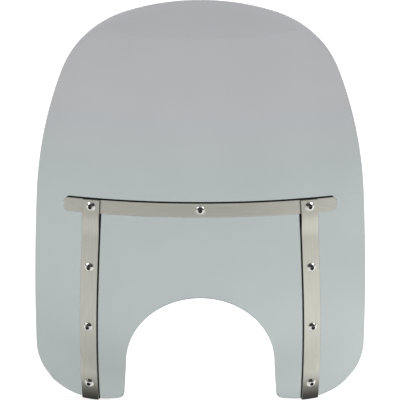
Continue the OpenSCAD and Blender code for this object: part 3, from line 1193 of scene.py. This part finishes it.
@dataclass
class Fastening:
    """One bolted station: button-head screw, rubber bush, washer and nut, along the face's normal.

    Each piece is turned about the station's normal, at heights above the sheet's outer face.
    """

    name: str
    at: Station
    seat: float
    screw_length: float
    capped: bool
    sheet: float = 4.8
    gap: float = 0.1
    thread_d: float = 7.94
    thread_h: float = 0.8
    thread_flats: tuple = (0.12, 0.7)
    thread_rows: int = 10
    pitch: float = 1.411
    runout: tuple = (1.5, 0.6)
    tip_step: float = 0.35
    head_d: float = 13.9
    head_h: float = 4.2
    head_edge_r: float = 0.22
    neck_r: float = 0.4
    lip_r: float = 2.95
    lip_w: float = 0.12
    socket: float = 4.76
    socket_depth: float = 2.6
    drill_depth: float = 0.45
    nut_flats: float = 12.7
    nut_h: float = 6.7
    nut_bevel: float = 0.35
    dome_h: float = 6.2
    blind: tuple = (2.0, 2.4)
    washer_d: float = 17.5
    washer_t: float = 1.6
    washer_edges: tuple = (0.15, 0.45)
    bore_d: float = 8.24
    bore_edges: tuple = (0.3, 0.2, 0.25)
    flange_d: float = 19.0
    flange_t: float = 2.0
    flange_edge_r: float = 0.5
    sleeve_d: float = 11.0

    @property
    def bush_back(self) -> float:
        """Height of the back of the bush's flange."""
        return -self.sheet - self.gap - self.flange_t

    @property
    def nut_front(self) -> float:
        """Height of the nut's face on the washer."""
        return self.bush_back - 2 * self.gap - self.washer_t

    def piece(self, shell: Shell, noun: str, slot: str, materials: Sequence[Material], node: str,
              sharp: float = SHARP) -> None:
        """Makes a piece of this station, which stands for one of its nodes."""
        shell.piece(f"{self.name}_{noun}", slot, materials, [f"{self.name}_{node}"], sharp)

    def thread(self, turned: Turning, high: float, low: float) -> None:
        """Adds rings of a thread.

        The radius goes from root to crest as a wave of (height / pitch - bearing / one turn), cut flat
        at its tops and roots, and is held under a cone at the tip.

        Args:
            turned: turning that takes them.
            high: height of the thread's start.
            low: height of the tip.
        """
        crest, root = self.thread_d / 2, self.thread_d / 2 - self.thread_h
        rows = int(round((high - low) / self.pitch * self.thread_rows))
        flat, slope = self.thread_flats
        for height in np.linspace(high, low, rows + 1):
            phase = (height / self.pitch - turned.bearing / (2 * math.pi)) % 1
            wave = np.clip((np.abs(2 * phase - 1) - flat) / slope, 0, 1)
            cone = root - self.tip_step + height - low
            turned.rings((np.minimum(root + (crest - root) * wave, cone), height))

    def screw(self, steel: Material, dark: Material) -> None:
        """Makes the screw: hex socket, domed head, plain shank, thread and chamfered tip.

        Args:
            steel: its finish.
            dark: near-black painted shade in its socket, where the recess stands in shade.
        """
        turned = Turning(self.at)
        head_r, lip, shank, edge = self.head_d / 2, self.lip_r, self.thread_d / 2, self.head_edge_r
        ball = (head_r**2 + self.head_h**2) / (2 * self.head_h)
        top, tip = self.seat + self.head_h, self.seat - self.screw_length
        floor = top - self.socket_depth
        hexed = hexagon(self.socket, turned.bearing)

        def dome(radius: float) -> float:
            """Height of the dome at a radius."""
            return top - ball + math.sqrt(ball**2 - radius**2)

        turned.rings((0.94 * hexed, floor), (hexed, floor + self.lip_w),
                     (hexed, dome(lip) - (lip - hexed) * 0.8))
        head = (lip, lip + self.lip_w, *np.linspace(lip + 0.5, head_r - 0.25, 9))
        turned.rings(*((radius, dome(radius)) for radius in head))
        turned.arc((head_r - edge, self.seat + edge), edge, 20, -90, 4)
        thread_top = self.nut_front - self.runout[0]
        turned.rings((shank + self.neck_r, self.seat), (shank, self.seat - self.neck_r),
                     (shank, thread_top + self.runout[1]))
        self.thread(turned, thread_top, tip)
        shell = turned.build(Shell(), floor - self.drill_depth, tip - 0.02, recess=3)
        self.piece(shell, "bolt", "screw_steel", [steel, dark], "screw", 28)

    def bush(self, rubber: Material) -> None:
        """Makes the flanged rubber bush.

        Args:
            rubber: its finish.
        """
        turned = Turning(self.at)
        bore, sleeve, flange = self.bore_d / 2, self.sleeve_d / 2, self.flange_d / 2
        back, face, front = self.bush_back, self.bush_back + self.flange_t, -self.gap
        bevel, mouth, edge = self.bore_edges[0], self.bore_edges[1], self.flange_edge_r
        turned.rings((bore, back + bevel), (bore + bevel, back))
        turned.arc((flange - edge, back + edge), edge, -90, 0, 4)
        turned.arc((flange - edge, face - edge), edge, 0, 90, 4)
        turned.rings((sleeve, face), (sleeve, front - bevel), (sleeve - bevel, front),
                     (bore + mouth, front), (bore, front - mouth))
        self.piece(turned.build(Shell()), "grommet", "black_rubber", [rubber], "bush")

    def washer(self, steel: Material) -> None:
        """Makes the plain washer, rounded at its outer edge where it was stamped.

        Args:
            steel: its finish.
        """
        turned = Turning(self.at)
        bore, rim = self.bore_d / 2, self.washer_d / 2
        high = self.bush_back - self.gap
        low = high - self.washer_t
        (keen, soft), burr = self.washer_edges, self.bore_edges[2]
        turned.rings((bore, high - keen), (bore + keen, high))
        turned.arc((rim - keen, high - keen), keen, 90, 0, 2)
        turned.arc((rim - soft, low + soft), soft, 0, -90, 4)
        turned.rings((bore + burr, low), (bore, low + burr))
        self.piece(turned.build(Shell()), "disc", "washer_steel", [steel], "washer")

    def nut(self, steel: Material) -> None:
        """Makes the hex nut, open or with a cap over the screw's end.

        The corners are cut by a cone at 30 degrees from a circle just inside the flats, which leaves
        each flat with its curved top.

        Args:
            steel: its finish.
        """
        turned = Turning(self.at, steps=96)
        hexed = hexagon(self.nut_flats, turned.bearing)
        half, bore, bevel = self.nut_flats / 2, self.thread_d / 2 + 0.05, self.nut_bevel
        flat_r, neck = half - 0.12, half - 0.3
        drop = (hexed - flat_r) * math.tan(math.radians(30))
        high, low = self.nut_front, self.nut_front - self.nut_h
        if self.capped:
            turned.rings((bore, low - self.blind[0]), (bore, high - bevel))
        turned.rings((bore + bevel, high), (flat_r, high), (hexed, high - drop), (hexed, low + drop))
        if self.capped:
            turned.rings((neck + 0.12, low), (neck, low - 0.12))
            turned.rings(*((neck * math.cos(angle), low - self.dome_h * math.sin(angle))
                           for angle in np.radians(np.linspace(4, 84, 12))))
            shell = turned.build(Shell(), low - self.blind[1], low - self.dome_h)
            self.piece(shell, "acorn", "nut_steel", [steel], "cap_nut", 24)
            return
        turned.rings((flat_r, low), (bore + bevel, low), (bore, low + bevel), (bore, high - bevel))
        self.piece(turned.build(Shell()), "hexnut", "nut_steel", [steel], "nut", 24)


@dataclass
class Hardware:
    """All nine stations, and the finishes of what is bolted there."""

    strap: SideStrap
    pitch: float = 92.5
    stud_length: float = 31.75
    corner_length: float = 25.4
    centre_length: float = 22.2

    def station(self, sign: int, z: float) -> Station:
        """The station on a side strap's middle, on the side of that sign, at a height."""
        skin, slope = self.strap.outline.skin, math.tan(math.radians(self.strap.splay))
        away = math.asin((skin.strap_z - z) * slope / float(skin.profile(z)[0]))
        return skin.station(sign * (self.strap.turn + away), z)

    def stations(self) -> dict[str, Fastening]:
        """Every station: the centre, and the corner and three studs of each side.

        Returns:
            The fastenings by name, in the order in which they are built.
        """
        skin, stack = self.strap.outline.skin, self.strap.stack
        flat = stack.low + stack.cross + stack.gap
        raised = stack.high + stack.side + stack.gap
        centre = skin.station(0.0, skin.strap_z)
        found = [Fastening("centre", centre, flat, self.centre_length, True)]
        for side in Side:
            for row, level in enumerate(LEVELS):
                at = self.station(side.value, skin.strap_z - row * self.pitch)
                sizes = (flat, self.stud_length, False) if row else (raised, self.corner_length, True)
                found.append(Fastening(f"{side.word}_{level}", at, *sizes))
        return {fastening.name: fastening for fastening in found}

    def build(self) -> None:
        """Makes the fasteners of every station."""
        screw = Grained.steel("polished screw steel", (0.74, 0.73, 0.70), (0.07, 0.16)).build()
        # near-black painted shade in the hex socket, standing for the shade of the recess
        socket = Grained.steel("oiled socket steel", (0.06, 0.058, 0.055), (0.3, 0.45)).build()
        nut = Grained.steel("plated nut steel", (0.66, 0.65, 0.63), (0.14, 0.28)).build()
        washer = Grained.steel("satin washer steel", (0.58, 0.58, 0.57), (0.28, 0.42), 900.0).build()
        rubber = Grained.black("black bush rubber", (0.022, 0.022, 0.023), (0.5, 0.68), 700.0,
                               0.00003).build()
        for fastening in self.stations().values():
            fastening.screw(screw, socket)
            fastening.bush(rubber)
            fastening.washer(washer)
            fastening.nut(nut)


# ---- the studio


@dataclass
class Studio:
    """A pale floor, soft boxes and an even sky, and the camera ahead of the screen and above it.

    The floor glows in a pattern of painted light and shade: a painted pool of light towards the right, a
    soft painted contact shadow near the feet, and dimmer rows ahead that the straps mirror. Each row of
    glow is a y in metres and stops of (x, strength). A lamp is what softbox takes.
    """

    skin: Skin
    distance: float = 3493.0
    elevation: float = 16.0
    lens: float = 221.8
    sensor: float = 36.0
    reach: float = 100.0
    rise: float = 13.6
    aside: float = -0.35
    floor_half: float = 30.0
    floor_drop: float = 0.3
    floor_grey: float = 0.4
    # painted light and shade on the floor: rows of y, each with stops of x and emission strength
    glow: tuple = (
        (-3.20, ((-1.00, 0.76), (1.00, 0.78))),
        (-1.30, ((-1.03, 0.32), (-0.68, 0.24), (-0.36, 0.22), (-0.10, 0.26), (0.20, 0.19), (0.43, 0.10),
                 (0.68, 0.19), (1.03, 0.34))),
        (-0.85, ((-0.80, 0.34), (-0.30, 0.27), (0.30, 0.27), (0.80, 0.44))),
        (-0.40, ((-0.15, 0.55), (0.15, 0.76))),
        (-0.16, ((-0.50, 0.60), (-0.20, 0.53), (0.20, 0.83), (0.50, 0.83))),
        (-0.09, ((-0.50, 0.60), (-0.20, 0.40), (0.20, 0.67), (0.50, 0.80))),
        (-0.05, ((-0.50, 0.65), (-0.20, 0.36), (0.20, 0.62), (0.50, 0.85))),
        (0.00, ((-0.30, 0.78), (0.00, 0.92), (0.30, 1.02))),
        (0.13, ((-0.30, 0.69), (0.00, 0.88), (0.30, 1.06))),
        (0.35, ((-0.30, 0.87), (0.00, 0.95), (0.30, 1.16))),
        (0.70, ((-0.30, 0.95), (0.30, 0.97))),
    )
    lamps: tuple = (
        ("right soft box", 2.4, 62.0, 98.0, 44.0, 3.6),
        ("left soft box", 2.4, 54.0, -98.0, 44.0, 3.6),
        ("rear soft box", 3.2, 62.0, 180.0, 62.0, 4.0),
    )
    sky_stops: tuple = ((0.09, 1.0), (0.26, 0.1), (0.85, 0.1), (1.0, 0.6))
    sky_ahead: tuple = (0.5, 1.0, -0.5, 0.3)
    sky_strength: float = 1.1

    def camera(self) -> None:
        """Puts the camera on the axis through the middle of the cross strap, raised by rise."""
        data = bpy.data.cameras.new("camera")
        data.lens, data.sensor_width, data.clip_end = self.lens, self.sensor, self.reach
        camera = show("camera", data)
        tilt = math.radians(self.elevation)
        ahead = np.array([0.0, math.cos(tilt), -math.sin(tilt)])
        upward = np.array([0.0, math.sin(tilt), math.cos(tilt)])
        target = np.array([self.aside, self.skin.front_y, self.skin.strap_z])
        camera.location = (target - self.distance * ahead + self.rise * upward) * MM
        camera.rotation_euler = (math.pi / 2 - tilt, 0.0, 0.0)
        bpy.context.scene.camera = camera

    def floor(self) -> None:
        """Makes the floor: one square, just under the feet."""
        half, low = self.floor_half, -self.floor_drop * MM
        mesh = bpy.data.meshes.new("floor")
        corners = [(-half, -half, low), (half, -half, low), (half, half, low), (-half, half, low)]
        mesh.from_pydata(corners, [], [(0, 1, 2, 3)])
        coat = Coat("pale floor")
        x, y = coat.axis(0), coat.axis(1)
        # painted light and shade: the floor's glow, row by row along y
        glow = coat.curve(x, self.glow[0][1])
        for (start, _), (end, stops) in zip(self.glow, self.glow[1:]):
            glow = coat.blend(coat.scale(y, 0.0, 1.0, start, end), glow, coat.curve(x, stops))
        mesh.materials.append(coat.dress({
            "Base Color": (self.floor_grey,) * 3, "Roughness": 0.9, "Specular IOR Level": 0.0,
            "Emission Color": (1.0,) * 3, "Emission Strength": glow,
        }))
        floor = show("floor", mesh)

    def softbox(self, name: str, size: float, power: float, azimuth: float, elevation: float,
                distance: float) -> None:
        """Adds a square soft box that faces the screen.

        Args:
            name: its name.
            size: side, in metres.
            power: watts.
            azimuth: bearing from ahead, towards +X, in degrees.
            elevation: height in degrees.
            distance: distance in metres.
        """
        data = bpy.data.lights.new(name, "AREA")
        data.shape, data.size, data.energy = "SQUARE", size, power
        lamp = show(name, data)
        a, e = math.radians(azimuth), math.radians(elevation)
        lamp.location = (distance * math.sin(a) * math.cos(e), -distance * math.cos(a) * math.cos(e),
                         distance * math.sin(e) + self.skin.strap_z * MM)
        lamp.rotation_euler = (math.pi / 2 - e, 0.0, a)

    def sky(self) -> None:
        """Makes the world: bright at and below the horizon, dimmer overhead and ahead."""
        world = bpy.data.worlds.new("studio sky")
        world.use_nodes = True
        tree = Tree(world.node_tree)
        stops = [(at, (value,) * 3) for at, value in self.sky_stops]
        height = tree.ramp(tree.axis(2, "Generated"), stops)
        side = tree.scale(tree.axis(1, "Generated"), *self.sky_ahead)
        light = tree.add("Background", {0: tree.times(side, height), "Strength": self.sky_strength})
        tree.feed(tree.new("OutputWorld"), {0: light})
        bpy.context.scene.world = world

    def build(self) -> None:
        """Makes the whole studio."""
        self.camera()
        self.floor()
        self.sky()
        for lamp in self.lamps:
            self.softbox(*lamp)
        bpy.context.scene.view_settings.view_transform = "Standard"


def main() -> None:
    """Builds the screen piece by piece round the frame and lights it."""
    low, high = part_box("screen")
    skin = Skin(front_y=low.y / MM)
    outline = Outline(width=(high.x - low.x) / MM, top_z=high.z / MM, skin=skin)
    stack = Stack()
    Studio(skin).build()
    straps = [SideStrap(outline, stack, [], side=side) for side in Side]
    hardware = Hardware(straps[-1])
    stations = {name: fastening.at for name, fastening in hardware.stations().items()}
    Sheet(outline, list(stations.values())).build()
    tape = Grained.black("black foam tape", (0.012,) * 3, (0.75, 0.95), 1500.0, 0.00006).build()
    crossed = [stations[name] for name in ("centre", "left_corner", "right_corner")]
    # the cross strap's edge is painted near-black as shade
    CrossStrap(outline, stack, crossed).build(
        Stainless("cross strap stainless").build(), Grained.sheared("cross strap edge").build(), tape)
    # the side straps' edges are painted near-black as shade, darkest just under the cross strap
    side_edge_shade = Grained.sheared("side strap edge", EDGE_PAINTED_SHADE).build()
    for strap in straps:
        word, turn = strap.side.word, strap.side.value * strap.splay
        # the side straps' stainless, painted darker at the foot as painted shade
        steel = Stainless(f"{word} strap stainless", (1400, 260, 6), turn, FOOT_PAINTED_SHADE).build()
        strap.stations = [stations[f"{word}_{level}"] for level in LEVELS]
        strap.build(steel, side_edge_shade, tape)
    hardware.build()


if __name__ == "__main__":
    logging.basicConfig(level=logging.INFO, format="%(name)s: %(message)s")
    main()
